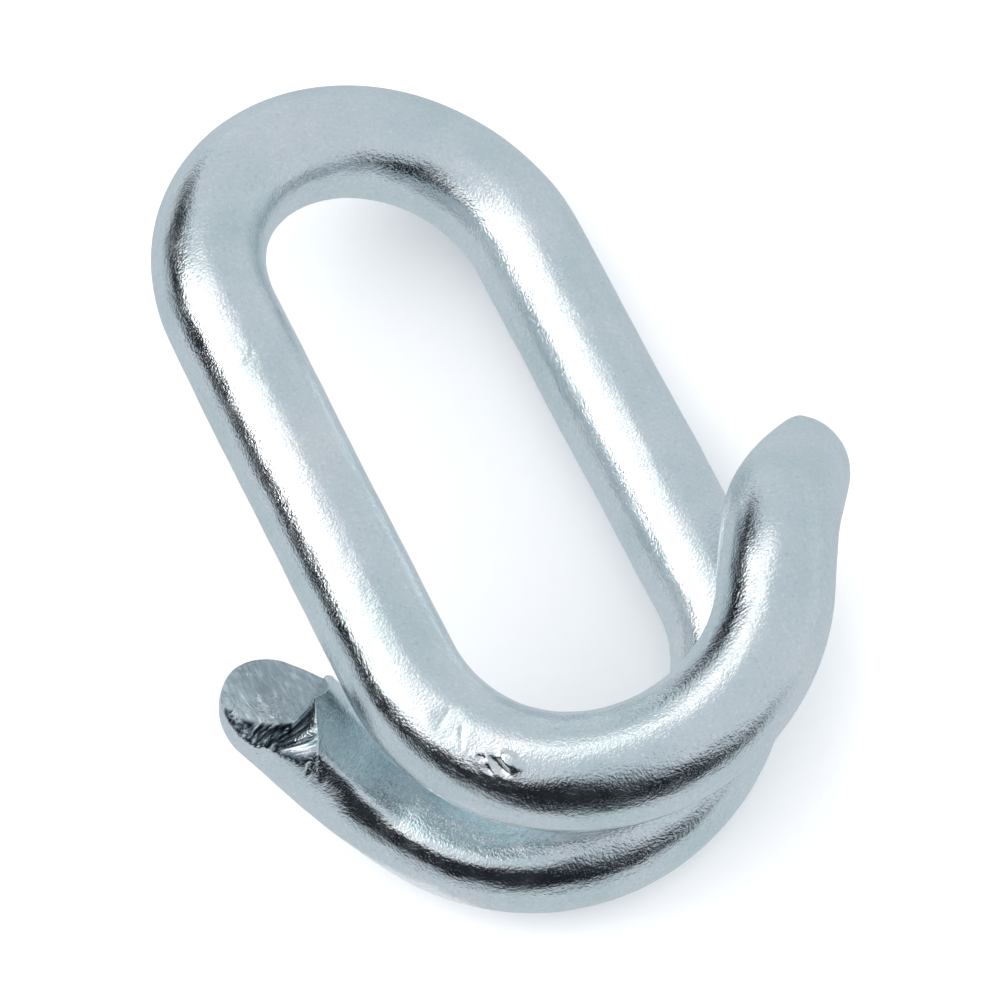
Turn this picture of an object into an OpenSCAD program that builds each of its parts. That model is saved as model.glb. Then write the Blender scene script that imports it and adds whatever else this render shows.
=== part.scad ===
// Safety chain hook, bent from one round bar.
// A closed eye at one end, two straight legs, and two open hooks that lap over each other at the other end.
// Half a turn about the long axis lays one half on the other, apart from the slanted faces on the two tips.
// The hook lies on one leg and its lower hook, with +Z up and +Y along the legs towards the eye.
// The origin is the centre of the eye bend.

/* [Bar] */
// Diameter of the round bar
bar_d = 9.5; // [8:0.5:10]

/* [Eye] */
// Clear width of the eye, between the two legs
eye_w = 19; // [17:0.5:22]
// Straight length of each leg, from the eye bend to the hook bend
leg_l = 34.5; // [30:0.5:45]

/* [Hooks] */
// Radius of each hook bend, at the bar's centreline
hook_r = 15.6; // [14.8:0.2:18]
// Angle that each hook bend turns through
hook_angle = 151; // [135:1:160]
// Tilt of each hook's plane away from the plane of the eye
hook_tilt = 26; // [24:1:32]

/* [Tips] */
// Radius of the bend that dips each tip towards the opposite leg, at the centreline
tip_r = 11.4; // [8:0.2:14]
// Angle of that dip
tip_angle = 46; // [20:1:50]
// Length of each tip, from the dip to its rounded nose
tip_l = 11.6; // [10:0.2:15]

/* [Sheared ends] */
// Slope of the slanted face on each tip
shear_angle = 28; // [24:1:34]
// Distance from the nose to where that face crosses the bar's centreline
shear_l = 4.7; // [4:0.1:5]
// Turn of the slanted face about the bar, on the upper tip
upper_turn = 90; // [-180:1:180]
// Turn of the slanted face about the bar, on the lower tip
lower_turn = 35; // [-180:1:180]
// Distance from the nose to the step where the lower tip's face starts
step_l = 6.3; // [5.6:0.1:7]
// Skew of that step across the bar
step_skew = 11; // [0:1:20]

/* [Hidden] */
$fn = 96;
bar_r = bar_d / 2;
eye_r = eye_w / 2 + bar_r;
// Each stretch of the bar plugs this far into the one before it, and is this much slimmer in radius
plug_l = 0.2;
plug_step = 0.01;
// Size of the blocks that cut the tips, wider than the bar and no longer than a tip with its bend
reach = 1.6 * bar_d;

// One row for each stretch of a half bar, from the eye out: roll about the bar, bend angle, then bend
// radius or straight length
HALF = [
    [0, 0, leg_l],
    [hook_tilt, hook_angle, hook_r],
    [-90, tip_angle, tip_r],
    [0, 0, tip_l - bar_r],
];

// A stretch that starts at the origin along +Z, and turns towards +X where it has an angle
module stretch(row, r) {
    if (row[1] == 0) {
        translate([0, 0, -plug_l]) cylinder(h = row[2] + plug_l, r = r);
    } else {
        plug_angle = plug_l / row[2] * 180 / PI;
        translate([row[2], 0, 0])
            rotate([90, 0, 180])
                rotate([0, 0, -plug_angle])
                    rotate_extrude(angle = row[1] + plug_angle)
                        translate([row[2], 0])
                            circle(r = r);
    }
}

// Moves the children from a stretch's start to its end
module past(row) {
    if (row[1] == 0) {
        translate([0, 0, row[2]]) children();
    } else {
        translate([row[2] * (1 - cos(row[1])), 0, row[2] * sin(row[1])])
            rotate([0, row[1], 0])
                children();
    }
}

// The bar along all rows, from the origin along +Z
module run(rows, i = 0) {
    if (i < len(rows)) {
        rotate([0, 0, rows[i][0]]) {
            stretch(rows[i], bar_r - (i + 1) * plug_step);
            past(rows[i]) run(rows, i + 1);
        }
    }
}

// Moves the children to the end of all rows
module at_end(rows, i = 0) {
    if (i < len(rows)) {
        rotate([0, 0, rows[i][0]]) past(rows[i]) at_end(rows, i + 1) children();
    } else {
        children();
    }
}

// What a shear takes off above its slanted face, with the nose at the origin and the bar along -Z
module above_face() {
    translate([0, 0, -shear_l])
        rotate([0, -shear_angle, 0])
            translate([0, -reach, -reach])
                cube([reach, 2 * reach, 2 * reach]);
}

// The space ahead of the step, where the lower tip's face stops
module ahead_of_step() {
    translate([0, 0, -step_l])
        rotate([-step_skew, 0, 0])
            translate([-reach, -reach, 0])
                cube([2 * reach, 2 * reach, reach]);
}

// One leg with its hook, and a rounded tip that the children are cut from
module half_bar() {
    nose_r = bar_r - (len(HALF) + 1) * plug_step;
    translate([-eye_r, 0, 0])
        rotate([90, 0, 0])
            difference() {
                union() {
                    run(HALF);
                    at_end(HALF) sphere(r = nose_r);
                }
                at_end(HALF) translate([0, 0, bar_r]) children();
            }
}

module eye_bend() {
    rotate_extrude(angle = 180)
        translate([eye_r, 0])
            circle(r = bar_r);
}

module hook_bar() {
    color("silver")
        rotate([0, hook_tilt, 0])
            union() {
                eye_bend();
                half_bar() rotate([0, 0, upper_turn]) above_face();
                rotate([0, 180, 0])
                    half_bar()
                        rotate([0, 0, lower_turn])
                            intersection() {
                                above_face();
                                ahead_of_step();
                            }
            }
}

hook_bar();
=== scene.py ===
"""Safety chain hook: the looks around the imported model.

The bar is swept again along the same line as the CAD bar, fine enough to carry its real surface: the
sheared tips with their torn edge, the forging's waves and the die marks. Everything is in metres.
"""

import math

import bpy
import numpy as np
from mathutils import Matrix, Vector


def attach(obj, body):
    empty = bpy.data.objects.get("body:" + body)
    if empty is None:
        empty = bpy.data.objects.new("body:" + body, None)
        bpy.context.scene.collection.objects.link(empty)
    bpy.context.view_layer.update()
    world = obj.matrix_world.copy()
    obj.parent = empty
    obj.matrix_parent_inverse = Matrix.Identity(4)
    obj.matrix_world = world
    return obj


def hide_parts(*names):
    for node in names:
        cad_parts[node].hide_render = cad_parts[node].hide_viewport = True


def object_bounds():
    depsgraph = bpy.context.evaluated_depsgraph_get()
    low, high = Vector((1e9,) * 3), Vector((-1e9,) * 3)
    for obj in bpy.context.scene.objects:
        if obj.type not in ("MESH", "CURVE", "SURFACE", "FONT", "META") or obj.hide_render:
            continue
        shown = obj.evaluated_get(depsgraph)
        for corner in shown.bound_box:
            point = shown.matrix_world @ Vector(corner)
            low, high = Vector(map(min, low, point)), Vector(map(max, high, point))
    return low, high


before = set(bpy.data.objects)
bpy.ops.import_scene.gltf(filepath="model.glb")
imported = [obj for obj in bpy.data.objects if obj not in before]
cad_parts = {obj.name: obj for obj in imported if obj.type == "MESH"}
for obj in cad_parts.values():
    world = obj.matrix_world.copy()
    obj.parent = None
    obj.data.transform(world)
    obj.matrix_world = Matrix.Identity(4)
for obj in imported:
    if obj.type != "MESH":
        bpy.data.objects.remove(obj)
cad_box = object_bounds()
MM = 0.001

# ---------------------------------------------------------------- camera

CAMERA_DISTANCE = 0.4377
CAMERA_AZIMUTH = -6.5
CAMERA_ELEVATION = 66.7
CAMERA_ROLL = -20.5
CAMERA_LENS = 195
AIM_FROM_CENTRE = Vector((0.7, -4.4, 0.0)) * MM


def from_angles(azimuth, elevation):
    """The direction from the object towards a place; azimuth 0 is the -Y side, 90 the +X side."""
    a, e = math.radians(azimuth), math.radians(elevation)
    return Vector((math.sin(a) * math.cos(e), -math.cos(a) * math.cos(e), math.sin(e)))


def make_camera():
    data = bpy.data.cameras.new("camera")
    camera = bpy.data.objects.new("camera", data)
    bpy.context.collection.objects.link(camera)
    aim = (cad_box[0] + cad_box[1]) / 2 + AIM_FROM_CENTRE
    back = from_angles(CAMERA_AZIMUTH, CAMERA_ELEVATION)
    turn = back.to_track_quat("Z", "Y").to_matrix() @ Matrix.Rotation(math.radians(CAMERA_ROLL), 3, "Z")
    camera.matrix_world = Matrix.Translation(aim + back * CAMERA_DISTANCE) @ turn.to_4x4()
    data.sensor_width = 36
    data.lens = CAMERA_LENS
    data.clip_start = 0.01
    bpy.context.scene.camera = camera


make_camera()

# ---------------------------------------------------------------- the bar's line

BAR_R = 4.75 * MM
EYE_R = 14.25 * MM
LEG = 34.5 * MM
HOOK_R = 15.6 * MM
HOOK_ANGLE = math.radians(151)
HOOK_TILT = math.radians(26)
DIP_R = 11.4 * MM
DIP_ANGLE = math.radians(46)
TIP = 11.6 * MM
RING_STEP = 0.20 * MM
TIP_STEP = 0.07 * MM
SIDES = 160
TWIN = np.array([-1.0, 1, -1])
LEAN = np.array(Matrix.Rotation(HOOK_TILT, 3, "Y"))


def half_line():
    """Points, tangents and the two square directions from the eye to the nose, for the upper half."""
    place = np.array([-EYE_R, 0.0, 0.0])
    along, out, up = np.array([0.0, -1, 0]), np.array([1.0, 0, 0]), np.array([0.0, 0, 1])
    rows = []

    def straight(length, step):
        nonlocal place
        for s in np.linspace(0, length, max(2, round(length / step)), endpoint=False):
            rows.append((place + along * s, along, out, up))
        place = place + along * length

    def bend(angle, radius, step):
        nonlocal place, along, out
        start, a0, o0 = place, along, out
        for turn in np.linspace(0, angle, max(2, round(angle * radius / step)), endpoint=False):
            c, s = math.cos(turn), math.sin(turn)
            rows.append((start + radius * (s * a0 + (1 - c) * o0), c * a0 + s * o0, c * o0 - s * a0, up))
        c, s = math.cos(angle), math.sin(angle)
        place = start + radius * (s * a0 + (1 - c) * o0)
        along, out = c * a0 + s * o0, c * o0 - s * a0

    def roll(angle):
        nonlocal out, up
        c, s = math.cos(angle), math.sin(angle)
        out, up = c * out + s * up, c * up - s * out

    straight(LEG, RING_STEP)
    roll(HOOK_TILT)
    bend(HOOK_ANGLE, HOOK_R, RING_STEP)
    roll(-math.pi / 2)
    bend(DIP_ANGLE, DIP_R, RING_STEP)
    straight(TIP, TIP_STEP)
    rows.append((place, along, out, up))
    return [np.array(column) for column in zip(*rows)]


def bar_line():
    """Points and tangents from the lower nose, over the eye, to the upper nose, and the noses' frames."""
    points, tangents, out, up = half_line()
    arc = np.arange(RING_STEP / EYE_R / 2, math.pi, RING_STEP / EYE_R)
    eye = EYE_R * np.stack([np.cos(arc), np.sin(arc), 0 * arc], 1)
    eye_tangents = np.stack([-np.sin(arc), np.cos(arc), 0 * arc], 1)
    line = np.concatenate([points[::-1] * TWIN, eye, points])
    tangent = np.concatenate([-tangents[::-1] * TWIN, eye_tangents, tangents])
    upper = (points[-1] @ LEAN.T, out[-1] @ LEAN.T, up[-1] @ LEAN.T, tangents[-1] @ LEAN.T)
    lower = tuple(v * TWIN for v in upper)
    return line @ LEAN.T, tangent @ LEAN.T, lower, upper


def carried_normals(tangent, first):
    """A direction square to the line at every point, carried along it without twist."""
    normal = np.zeros_like(tangent)
    last = np.array(first, float)
    for i, t in enumerate(tangent):
        last = last - t * (last @ t)
        last = last / np.linalg.norm(last)
        normal[i] = last
    return normal


# ---------------------------------------------------------------- the bar's surface

def ripple(points, wavelength, seed, waves=30):
    """Smooth random relief of that wavelength, with a standard deviation of 1, made of crossing waves."""
    rng = np.random.default_rng(seed)
    total = np.zeros(points.shape[:-1])
    for _ in range(waves):
        direction = rng.normal(size=3)
        direction *= rng.uniform(0.7, 1.4) * 2 * math.pi / wavelength / np.linalg.norm(direction)
        total += np.sin(points @ direction + rng.uniform(0, 2 * math.pi))
    return total * math.sqrt(2 / waves)


def smooth(edge0, edge1, x):
    t = np.clip((x - edge0) / (edge1 - edge0), 0, 1)
    return t * t * (3 - 2 * t)


def mesh_object(name, verts, faces):
    mesh = bpy.data.meshes.new(name)
    mesh.from_pydata(verts, [], faces)
    mesh.shade_smooth()
    obj = bpy.data.objects.new(name, mesh)
    bpy.context.collection.objects.link(obj)
    return obj


# The slanted face on each tip
SHEAR = math.radians(28)
SHEAR_BACK = 4.7 * MM
UPPER_TURN = math.radians(90)
LOWER_TURN = math.radians(35)
# Where the round nose begins, along the bar from its end
NOSE_START = -BAR_R


def in_nose_frame(points, nose, turn):
    """Heights above, places across and places along the bar, for points near a nose."""
    origin, out, up, along = nose
    high = math.cos(turn) * out + math.sin(turn) * up
    across = math.cos(turn) * up - math.sin(turn) * out
    rel = points - origin
    return rel @ high, rel @ across, rel @ along, np.stack([high, across, along])


def shear_upper(points, nose):
    """Flattens everything above the slanted face onto it."""
    high, across, ahead, axes = in_nose_frame(points, nose, UPPER_TURN)
    square = math.cos(SHEAR) * axes[0] + math.sin(SHEAR) * axes[2]
    above = high * math.cos(SHEAR) + (ahead + SHEAR_BACK) * math.sin(SHEAR)
    return points - np.clip(above, 0, None)[..., None] * square


# The step where the lower tip's face stops: its foot and its crest, as (across, ahead of the nose)
FOOT = np.array(
    [[-4.7, -6.3], [-1.3, -6.1], [-0.4, -6.35], [1.0, -6.75], [3.4, -7.15], [4.7, -7.3]]
) * MM
CREST = np.array(
    [[-4.7, -7.6], [-4.0, -7.8], [-3.2, -7.2], [-2.2, -6.1]]
    + [[-0.9, -4.9], [0.0, -5.5], [1.7, -6.0], [4.7, -7.0]]
) * MM
# Length of the bar's surface that becomes the step's wall, the height below which a wall fades out,
# and how far behind the nose the cut can reach
WALL = 0.45 * MM
LOW_WALL = 0.8 * MM
CUT_REACH = 9 * MM
# The torn part of that face lies beyond this line, as (ahead of the nose, across), and falls away from it
TEAR = np.array([[-8.0, -0.9], [-6.0, -0.9], [-5.1, -1.6], [-3.8, -2.2], [-2.4, -2.4], [-1.8, -2.0]]) * MM
TEAR_SLOPE = math.tan(math.radians(24))
TEAR_WIDTH = 1.5 * MM
TEAR_START = 0.25 * MM
# Tears and grain fade this far inside the face's rim
RIM = 0.5 * MM


def step_lines(across, half):
    """Foot and crest of the step; where its wall is low, both lie where the face runs out."""
    foot = np.interp(across, FOOT[:, 0], FOOT[:, 1])
    crest = np.interp(across, CREST[:, 0], CREST[:, 1])
    runs_out = np.maximum(-SHEAR_BACK - half / math.tan(SHEAR), foot)
    wall_high = half + (foot + SHEAR_BACK) * math.tan(SHEAR)
    walled = smooth(0, LOW_WALL, wall_high)
    return walled * foot + (1 - walled) * runs_out, walled * crest + (1 - walled) * runs_out


def torn_face(points, across, ahead, to_rim):
    """How torn the slanted face is, and the height that its tears and grain add."""
    beyond = np.clip(np.interp(ahead, TEAR[:, 0], TEAR[:, 1]) - across, 0, None)
    torn = smooth(0, TEAR_START, beyond)
    inside = smooth(0, RIM, to_rim)
    ridges = np.stack([ahead + 0.35 * across, across * 0.35, 0 * across], -1)
    rough = 0.07 * ripple(ridges, 0.55 * MM, 11) + 0.05 * ripple(points, 0.8 * MM, 12)
    height = torn * (rough - 0.10) * MM - np.minimum(beyond, TEAR_WIDTH) * TEAR_SLOPE
    height += 0.015 * ripple(points, 1.4 * MM, 13) * MM
    return torn, inside * height


def wall_top(across, crest, half):
    """The height at which the step's wall leaves the bar's surface, or the flat along it."""
    on_nose = np.sqrt(np.clip(half**2 - (crest - NOSE_START) ** 2, 0, None))
    on_bar = np.where(crest > NOSE_START, on_nose, half)
    flat_away = math.radians(FLAT_TURN[0]) - math.pi / 2 + LOWER_TURN
    on_flat = (BAR_R * math.cos(FLAT_HALF) + across * math.sin(flat_away)) / math.cos(flat_away)
    return np.minimum(on_bar, on_flat)


def shear_lower(points, nose):
    """Lays the tip's top onto the slanted face and the step behind it, and tears the face's edge."""
    high, across, ahead, axes = in_nose_frame(points, nose, LOWER_TURN)
    half = np.sqrt(np.clip(BAR_R**2 - across**2, 1e-12, None))
    round_nose = NOSE_START + half * np.arctan2(ahead - NOSE_START, high)
    trip = np.where(ahead > NOSE_START, round_nose, ahead)
    end_turn = math.pi / 2 + SHEAR
    end_trip = NOSE_START + half * end_turn
    end_ahead = NOSE_START + half * math.sin(end_turn)
    foot, crest = step_lines(across, half)

    cut = (high > -(ahead + SHEAR_BACK) * math.tan(SHEAR)) & (trip > crest) & (ahead > -CUT_REACH)
    cut &= np.hypot(high, across) < 1.2 * BAR_R
    up_wall = np.clip((trip - crest) / WALL, 0, 1)
    on_face = np.clip((trip - crest - WALL) / np.maximum(end_trip - crest - WALL, 1e-6), 0, 1)
    face_ahead = foot + (end_ahead - foot) * on_face
    face_high = -(face_ahead + SHEAR_BACK) * math.tan(SHEAR)
    to_rim = np.minimum(half - np.abs(face_high), end_ahead - face_ahead)
    torn, relief = torn_face(points, across, face_ahead, to_rim)
    face_high += relief

    wall_start = wall_top(across, crest, half)
    on_wall = up_wall < 1
    new_ahead = np.where(on_wall, crest + (foot - crest) * up_wall, face_ahead)
    new_high = np.where(on_wall, wall_start + (face_high - wall_start) * up_wall, face_high)
    offsets = np.stack([new_high, across, new_ahead], -1)
    moved = nose[0] + offsets @ axes
    return np.where(cut[..., None], moved, points), cut * np.where(on_wall, 0.0, 1.0), cut * torn


# Marks left by the dies and by knocks: place along the bar (mm), turn round it (degrees), length and
# width (mm), slant (degrees), depth and lip (mm)
MARKS = (
    (183.2, 148, 2.0, 1.7, 15, 0.10, 0.0),
    (184.5, 151, 1.3, 0.24, 60, 0.09, 0.02),
    (182.6, 146, 1.2, 0.22, 80, 0.06, 0.0),
    (188.6, 157, 1.2, 0.75, 35, -0.26, 0.0),
    (187.9, 164, 1.2, 0.45, 30, 0.20, 0.03),
    (186.6, 162, 0.5, 0.35, 0, 0.14, 0.04),
    (187.2, 169, 0.7, 0.30, 40, 0.10, 0.04),
    (147.4, 139, 1.1, 0.22, 86, 0.07, 0.02),
    (146.9, 132, 0.6, 0.22, 40, 0.06, 0.02),
    (102.1, 128, 1.3, 0.22, 20, 0.06, 0.02),
    (9.0, 121, 1.3, 0.25, 35, 0.10, 0.03),
    (8.2, 127, 0.9, 0.22, 50, 0.09, 0.03),
)
# The flat that the die leaves along the lower hook. It fades between two places along the bar (mm), faces
# one turn near the nose (degrees) and twists away from it (degrees per mm).
FLAT_ENDS = (26.0, 36.0)
FLAT_FROM = 8
FLAT_TURN = (80, 0.5)
FLAT_HALF = math.radians(28)
FLAT_RIDGE = 0.10 * MM


def die_flat(s, theta):
    """How much the flat takes off the bar's radius, with its ridge a little rounded."""
    turn = np.radians(FLAT_TURN[0] + FLAT_TURN[1] * (s / MM - FLAT_FROM))
    away = (theta[None] - turn[:, None] + math.pi) % (2 * math.pi) - math.pi
    plane = BAR_R * math.cos(FLAT_HALF) / np.cos(np.clip(away, -1.2, 1.2))
    cut = FLAT_RIDGE * np.logaddexp(0, (BAR_R - plane) / FLAT_RIDGE)
    return cut * (1 - smooth(FLAT_ENDS[0] * MM, FLAT_ENDS[1] * MM, s))[:, None]


def marks(s, theta):
    """The height that the marks add to the bar's surface; each is a dent with a raised lip round it."""
    height = np.zeros((len(s), len(theta)))
    for place, turn, length, width, slant, depth, lip in MARKS:
        away = (theta - math.radians(turn) + math.pi) % (2 * math.pi) - math.pi
        ds, dw = s[:, None] - place * MM, BAR_R * away[None]
        c, n = math.cos(math.radians(slant)), math.sin(math.radians(slant))
        reach = np.hypot((c * ds + n * dw) / (length * MM), (c * dw - n * ds) / (width * MM))
        height -= depth * MM * (1 - smooth(0.35, 1.0, reach))
        height += lip * MM * np.exp(-(((reach - 1.15) / 0.3) ** 2))
    return height


# Waves of the forging: height (mm), length (mm), seed, and the scale along the bar, below 1 to draw them out
WAVES = ((0.030, 15, 1, 1), (0.005, 4, 2, 1), (0.006, 1.2, 3, 0.35))
# The mean surface lies this far inside the bar's true radius
INSET = 0.02 * MM
# Length at each end of the bar in which a shear can move a point
TIP_ZONE = 20 * MM
SHARP_EDGE = math.radians(50)


def forging_waves(unrolled):
    return sum(
        height * MM * ripple(unrolled * np.array([along, 1, 1]), length * MM, seed)
        for height, length, seed, along in WAVES
    )


def tube_faces(rings):
    """Quads between that many rings, and a fan at each end to one of the two points after the rings."""
    here = np.arange(SIDES)
    beside = (here + 1) % SIDES
    start = (np.arange(rings - 1) * SIDES)[:, None]
    quads = np.stack([start + here, start + beside, start + beside + SIDES, start + here + SIDES], -1)
    first_nose = rings * SIDES
    last_ring = first_nose - SIDES
    faces = quads.reshape(-1, 4).tolist()
    faces += [(b, a, first_nose) for a, b in zip(here.tolist(), beside.tolist())]
    faces += [(first_nose + 1, last_ring + a, last_ring + b) for a, b in zip(here.tolist(), beside.tolist())]
    return faces


def ring_values(values, first_nose, last_nose):
    """Values in the order of the mesh's points: all rings but the outermost, then the two noses."""
    return np.concatenate([values[1:-1].reshape(-1, *values.shape[2:]), [first_nose, last_nose]])


def point_layer(obj, name, kind, field, values):
    layer = obj.data.attributes.new(name, kind, "POINT")
    layer.data.foreach_set(field, values.ravel())


def make_bar():
    """The whole bar as one skin, with the layers that its material reads."""
    line, tangent, lower, upper = bar_line()
    normal = carried_normals(tangent, lower[2])
    side = np.cross(tangent, normal)
    s = np.concatenate([[0], np.cumsum(np.linalg.norm(np.diff(line, axis=0), axis=1))])
    to_nose = np.minimum(s, s[-1] - s)
    taper = np.sqrt(np.clip(1 - np.clip(1 - to_nose / BAR_R, 0, None) ** 2, 0, 1))

    theta = np.arange(SIDES) * 2 * math.pi / SIDES
    cos, sin = np.cos(theta), np.sin(theta)
    spoke = normal[:, None] * cos[None, :, None] + side[:, None] * sin[None, :, None]
    unrolled = np.stack(np.broadcast_arrays(s[:, None], BAR_R * cos[None], BAR_R * sin[None]), -1)
    flattened = die_flat(s, theta)
    radius = (BAR_R - INSET + forging_waves(unrolled) + marks(s, theta) - flattened) * taper[:, None]
    points = line[:, None] + spoke * radius[..., None]

    sheared, torn = np.zeros((len(s), SIDES)), np.zeros((len(s), SIDES))
    low_end = s < TIP_ZONE
    points[low_end], sheared[low_end], torn[low_end] = shear_lower(points[low_end], lower)
    high_end = s > s[-1] - TIP_ZONE
    points[high_end] = shear_upper(points[high_end], upper)

    verts = ring_values(points, points[0, 0], points[-1, 0])
    bar = mesh_object("hook_surface", verts.tolist(), tube_faces(len(s) - 2))
    place = ring_values(unrolled, unrolled[0, 0] * 0, unrolled[-1, 0])
    point_layer(bar, "bar_place", "FLOAT_VECTOR", "vector", place)
    pressed = smooth(0.05 * MM, 0.25 * MM, flattened) * (1 - sheared)
    # The material paints near-black streaks on the torn part as painted reflections, and paints the sheared
    # face grey as painted shade
    for name, amount in (("sheared", sheared), ("torn", torn), ("pressed", pressed)):
        point_layer(bar, name, "FLOAT", "value", ring_values(amount, amount[1].mean(), 0))
    bar.data.set_sharp_from_angle(angle=SHARP_EDGE)
    return bar


# ---------------------------------------------------------------- materials

def new_material(name):
    material = bpy.data.materials.new(name)
    material.use_nodes = True
    return material, material.node_tree.nodes, material.node_tree.links


# Shades of the zinc, each as (noise value, colour): the plating itself, then a teal tint with lighter specks
# on the flat along the lower hook, scratch streaks over a grey of painted shade on the lower tip's face, and
# near-black streaks where that face is torn, which are painted reflections of the dark part of the room
MOTTLE = [(0.30, (0.76, 0.86, 0.87)), (0.50, (0.87, 0.93, 0.96)), (0.70, (0.96, 0.97, 0.99))]
SPECKS = [(0.30, (0.78, 0.79, 0.80)), (0.40, (0.90,) * 3), (0.58, (0.92,) * 3), (0.66, (1.0,) * 3)]
# Teal tint with lighter specks on the die's flat
FLAT_TEAL_TINT = [(0.38, (0.82, 0.94, 0.95)), (0.55, (0.92, 0.99, 0.99)), (0.62, (1, 1, 1))]
# Scratch streaks on the sheared face, over a grey that is painted shade for the duller light that face
# reflects
SCRATCHES_AND_PAINTED_SHADE = [(0.30, (0.62, 0.65, 0.66)), (0.55, (0.74, 0.77, 0.78)), (0.70, (1, 1, 1))]
# Near-black streaks on the torn face: painted reflections of the dark part of the room, not a colour of the
# metal
TORN_PAINTED_REFLECTIONS = [(0.42, (0.03, 0.04, 0.05)), (0.50, (0.20, 0.22, 0.25)), (0.62, (1, 1, 1))]
SCRATCH_TURN = (0, 0, math.radians(35))


def zinc():
    """Mottled zinc plating, with painted shade and painted reflections on the lower tip's face; stretched
    noise runs along the bar unless it is turned.
    """
    material, nodes, links = new_material("zinc_plating")
    shader = nodes["Principled BSDF"]
    shader.inputs["Metallic"].default_value = 1.0
    coordinates = nodes.new("ShaderNodeTexCoord")
    bar_place = nodes.new("ShaderNodeAttribute")
    bar_place.attribute_name = "bar_place"

    def noise(scale, detail, rough=0.5, stretch=None, turned=None):
        tex = nodes.new("ShaderNodeTexNoise")
        tex.inputs["Scale"].default_value = scale
        tex.inputs["Detail"].default_value = detail
        tex.inputs["Roughness"].default_value = rough
        out = coordinates.outputs["Object"]
        if stretch:
            mapping = nodes.new("ShaderNodeMapping")
            mapping.inputs["Scale"].default_value = stretch
            if turned:
                mapping.inputs["Rotation"].default_value = turned
            links.new(out if turned else bar_place.outputs["Vector"], mapping.inputs["Vector"])
            out = mapping.outputs["Vector"]
        links.new(out, tex.inputs["Vector"])
        return tex.outputs["Fac"]

    def ramp(value, stops):
        node = nodes.new("ShaderNodeValToRGB")
        links.new(value, node.inputs["Fac"])
        while len(node.color_ramp.elements) < len(stops):
            node.color_ramp.elements.new(0.5)
        for element, (at, colour) in zip(node.color_ramp.elements, stops):
            element.position = at
            element.color = (*colour, 1)
        return node.outputs["Color"]

    def spread(value, low, high):
        node = nodes.new("ShaderNodeMapRange")
        node.inputs["From Min"].default_value = 0.3
        node.inputs["From Max"].default_value = 0.7
        node.inputs["To Min"].default_value = low
        node.inputs["To Max"].default_value = high
        links.new(value, node.inputs["Value"])
        return node.outputs["Result"]

    def bump(height, distance, strength, under=None):
        node = nodes.new("ShaderNodeBump")
        node.inputs["Distance"].default_value = distance
        node.inputs["Strength"].default_value = strength
        links.new(height, node.inputs["Height"])
        if under:
            links.new(under, node.inputs["Normal"])
        return node.outputs["Normal"]

    def multiplied(colour, shades):
        mix = nodes.new("ShaderNodeMix")
        mix.data_type = "RGBA"
        mix.blend_type = "MULTIPLY"
        mix.inputs["Factor"].default_value = 1.0
        links.new(colour, mix.inputs["A"])
        links.new(shades, mix.inputs["B"])
        return mix

    def darkened_by_mask(colour, mask_name, shades):
        mask = nodes.new("ShaderNodeAttribute")
        mask.attribute_name = mask_name
        mix = multiplied(colour, shades)
        links.new(mask.outputs["Fac"], mix.inputs["Factor"])
        return mix.outputs["Result"]

    plating = multiplied(ramp(noise(110, 5, 0.6), MOTTLE), ramp(noise(3000, 3, 0.7), SPECKS))
    # Teal tint with lighter specks, laid on the flat along the lower hook
    flat_teal_tint = ramp(noise(2200, 4, 0.7), FLAT_TEAL_TINT)
    # Real scratch streaks over painted shade on the sheared face
    scratches_and_painted_shade = ramp(noise(1, 3, 0.6, (2400, 500, 900), SCRATCH_TURN), SCRATCHES_AND_PAINTED_SHADE)
    # Painted reflections of the dark room, as near-black streaks on the torn face
    tears = ramp(noise(1, 3, 0.6, (2200, 500, 500)), TORN_PAINTED_REFLECTIONS)
    flat = darkened_by_mask(plating.outputs["Result"], "pressed", flat_teal_tint)
    face = darkened_by_mask(flat, "sheared", scratches_and_painted_shade)
    links.new(darkened_by_mask(face, "torn", tears), shader.inputs["Base Color"])
    links.new(spread(noise(420, 3, 0.6), 0.10, 0.24), shader.inputs["Roughness"])
    fine = bump(noise(4600, 2, 0.6), 0.040 * MM, 1)
    streaks = bump(noise(1600, 3, 0.55, (0.6, 1, 1)), 0.028 * MM, 1, fine)
    links.new(streaks, shader.inputs["Normal"])
    return material


def paper():
    """Pale, matt paper with a faint grain."""
    material, nodes, links = new_material("floor_paper")
    shader = nodes["Principled BSDF"]
    shader.inputs["Roughness"].default_value = 0.9
    place = nodes.new("ShaderNodeTexCoord")
    grain = nodes.new("ShaderNodeTexNoise")
    grain.inputs["Scale"].default_value = 700
    grain.inputs["Detail"].default_value = 3
    shade = nodes.new("ShaderNodeValToRGB")
    shade.color_ramp.elements[0].color = (0.92, 0.925, 0.93, 1)
    shade.color_ramp.elements[1].color = (0.94, 0.945, 0.95, 1)
    tooth = nodes.new("ShaderNodeBump")
    tooth.inputs["Distance"].default_value = 0.02 * MM
    links.new(place.outputs["Object"], grain.inputs["Vector"])
    links.new(grain.outputs["Fac"], shade.inputs["Fac"])
    links.new(grain.outputs["Fac"], tooth.inputs["Height"])
    links.new(shade.outputs["Color"], shader.inputs["Base Color"])
    links.new(tooth.outputs["Normal"], shader.inputs["Normal"])
    return material


def glow(name, colour, strength):
    material, nodes, links = new_material(name)
    nodes.remove(nodes["Principled BSDF"])
    light = nodes.new("ShaderNodeEmission")
    light.inputs["Color"].default_value = (*colour, 1)
    light.inputs["Strength"].default_value = strength
    links.new(light.outputs["Emission"], nodes["Material Output"].inputs["Surface"])
    return material


# ---------------------------------------------------------------- studio

CARD_DISTANCE = 0.9
ROOM_DISTANCE = 1.2


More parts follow.
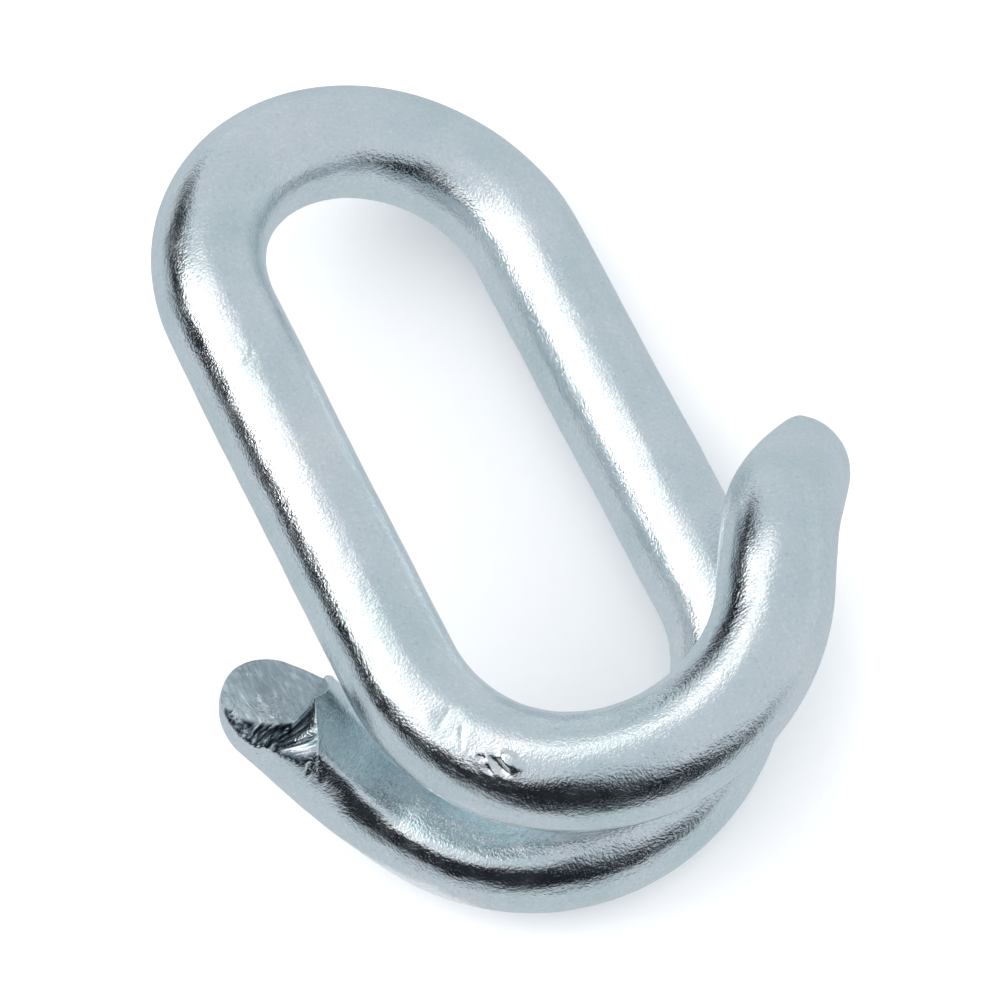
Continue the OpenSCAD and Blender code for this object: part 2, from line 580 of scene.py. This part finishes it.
def only_reflected(obj):
    obj.visible_camera = False
    obj.visible_diffuse = False
    obj.visible_shadow = False


def card(name, azimuths, bottoms, tops, material, distance=CARD_DISTANCE):
    """A curved glowing sheet around the object, between two elevations in degrees for each azimuth."""
    steps = 48
    where = np.linspace(azimuths[0], azimuths[-1], steps)
    low, high = np.interp(where, azimuths, bottoms), np.interp(where, azimuths, tops)
    rows = 12
    verts = [
        tuple(from_angles(a, b + (t - b) * r / rows) * distance)
        for a, b, t in zip(where, low, high)
        for r in range(rows + 1)
    ]
    n = rows + 1
    faces = [
        (i * n + r, i * n + r + 1, (i + 1) * n + r + 1, (i + 1) * n + r)
        for i in range(steps - 1)
        for r in range(rows)
    ]
    obj = mesh_object(name, verts, faces)
    obj.data.materials.append(material)
    only_reflected(obj)
    return obj


def softbox(name, azimuth, elevation, distance, wide, high, power, colour=(1, 1, 1)):
    light = bpy.data.lights.new(name, "AREA")
    light.shape = "ELLIPSE"
    light.size = wide
    light.size_y = high
    light.energy = power
    light.color = colour
    obj = bpy.data.objects.new(name, light)
    direction = from_angles(azimuth, elevation)
    obj.location = direction * distance
    obj.rotation_mode = "QUATERNION"
    obj.rotation_quaternion = direction.to_track_quat("Z", "Y")
    bpy.context.collection.objects.link(obj)
    return obj


def sheet(name, corners, material):
    obj = mesh_object(name, corners, [(0, 1, 2, 3)])
    obj.data.materials.append(material)
    return obj


def level_sheet(name, half, height, material):
    corners = [(x * half, y * half, height) for x, y in ((-1, -1), (1, -1), (1, 1), (-1, 1))]
    return sheet(name, corners, material)


def sky():
    """The glow of the room, a little brighter towards -X."""
    material, nodes, links = new_material("room_glow")
    nodes.remove(nodes["Principled BSDF"])
    place = nodes.new("ShaderNodeTexCoord")
    split = nodes.new("ShaderNodeSeparateXYZ")
    across = nodes.new("ShaderNodeMapRange")
    across.inputs["From Min"].default_value = -ROOM_DISTANCE
    across.inputs["From Max"].default_value = ROOM_DISTANCE
    fade = nodes.new("ShaderNodeValToRGB")
    fade.color_ramp.elements[0].color = (0.60, 0.66, 0.71, 1)
    fade.color_ramp.elements[1].color = (0.57, 0.63, 0.67, 1)
    light = nodes.new("ShaderNodeEmission")
    links.new(place.outputs["Object"], split.inputs["Vector"])
    links.new(split.outputs["X"], across.inputs["Value"])
    links.new(across.outputs["Result"], fade.inputs["Fac"])
    links.new(fade.outputs["Color"], light.inputs["Color"])
    links.new(light.outputs["Emission"], nodes["Material Output"].inputs["Surface"])
    return material


def lamp_cards():
    """A wide lamp from the +Y side round to the -X side, brightest in the middle, of three nested cards."""
    bottoms, tops = [60, 58, 55, 46, 46, 54], [66, 68, 70, 69, 64, 57]
    for grow, strength in ((0, 1.7), (4, 1.05), (9, 0.80)):
        card(
            "lamp_%d" % grow,
            [-205 - grow, -180, -150, -132, -108, -98 + grow],
            [bottom - grow for bottom in bottoms],
            [top + grow for top in tops],
            glow("lamp_white_%d" % grow, (0.98, 0.99, 1), strength),
            CARD_DISTANCE + 0.01 * grow,
        )


def room_cards():
    """The room's dark part from +Y over -X to the front, its dimmer edge, and the light above it at -X."""
    card(
        "dark_room",
        [-176, -150, -100, -84, -48, -24, -12, 0, 26],
        [5, 3, 6, 4, -0.7, -0.7, -0.7, -0.7, -0.7],
        [31, 39, 37, 43, 45, 57, 37, 27, 10],
        glow("dark", (0.006, 0.008, 0.012), 1),
    )
    card(
        "dim_room",
        [-96, -72, -48, -36, -24, 12],
        [6] * 6,
        [38, 50, 56, 64, 64, 22],
        glow("dim", (0.27, 0.31, 0.34), 1),
        CARD_DISTANCE + 0.05,
    )
    card(
        "light_edge",
        [-104, -84, -52, -46],
        [38, 44, 46, 46],
        [46, 51, 50, 46],
        glow("edge_white", (1, 1, 1), 1.6),
        CARD_DISTANCE + 0.02,
    )


def table_sheets(low):
    """The table as the metal sees it: grey, lit under the hooks and dark in front."""
    only_reflected(level_sheet("table_tone", 0.6, low + 0.1 * MM, glow("table_grey", (0.56, 0.62, 0.66), 1)))
    top = low + 0.2 * MM
    under_hooks = [(-0.024, -0.050), (-0.004, -0.050), (-0.004, -0.034), (-0.024, -0.034)]
    lit = glow("lit_table", (0.80, 0.84, 0.87), 1)
    only_reflected(sheet("table_under_hooks", [(x, y, top) for x, y in under_hooks], lit))
    front = [(-0.22, -0.115), (0.07, -0.115), (0.5, -0.6), (-0.6, -0.6)]
    dark = glow("dark_table", (0.02, 0.025, 0.03), 1)
    only_reflected(sheet("table_front", [(x, y, top) for x, y in front], dark))


def make_studio():
    """Paper floor, white world and one soft light, and around them what only the metal sees."""
    low = cad_box[0].z
    level_sheet("floor", 3.0, low, paper())
    world = bpy.data.worlds.new("studio")
    world.use_nodes = True
    background = world.node_tree.nodes["Background"]
    background.inputs["Color"].default_value = (0.97, 0.98, 1.0, 1)
    background.inputs["Strength"].default_value = 1.45
    bpy.context.scene.world = world
    softbox("key", -124, 43, 0.9, 0.7, 0.35, 1.6)
    card("room", [-180, 180], [-0.5, -0.5], [90, 90], sky(), ROOM_DISTANCE)
    lamp_cards()
    room_cards()
    table_sheets(low)
    bpy.context.scene.view_settings.view_transform = "Standard"


bar = make_bar()
bar.data.materials.append(zinc())
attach(bar, "root")
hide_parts("hook_bar")
make_studio()
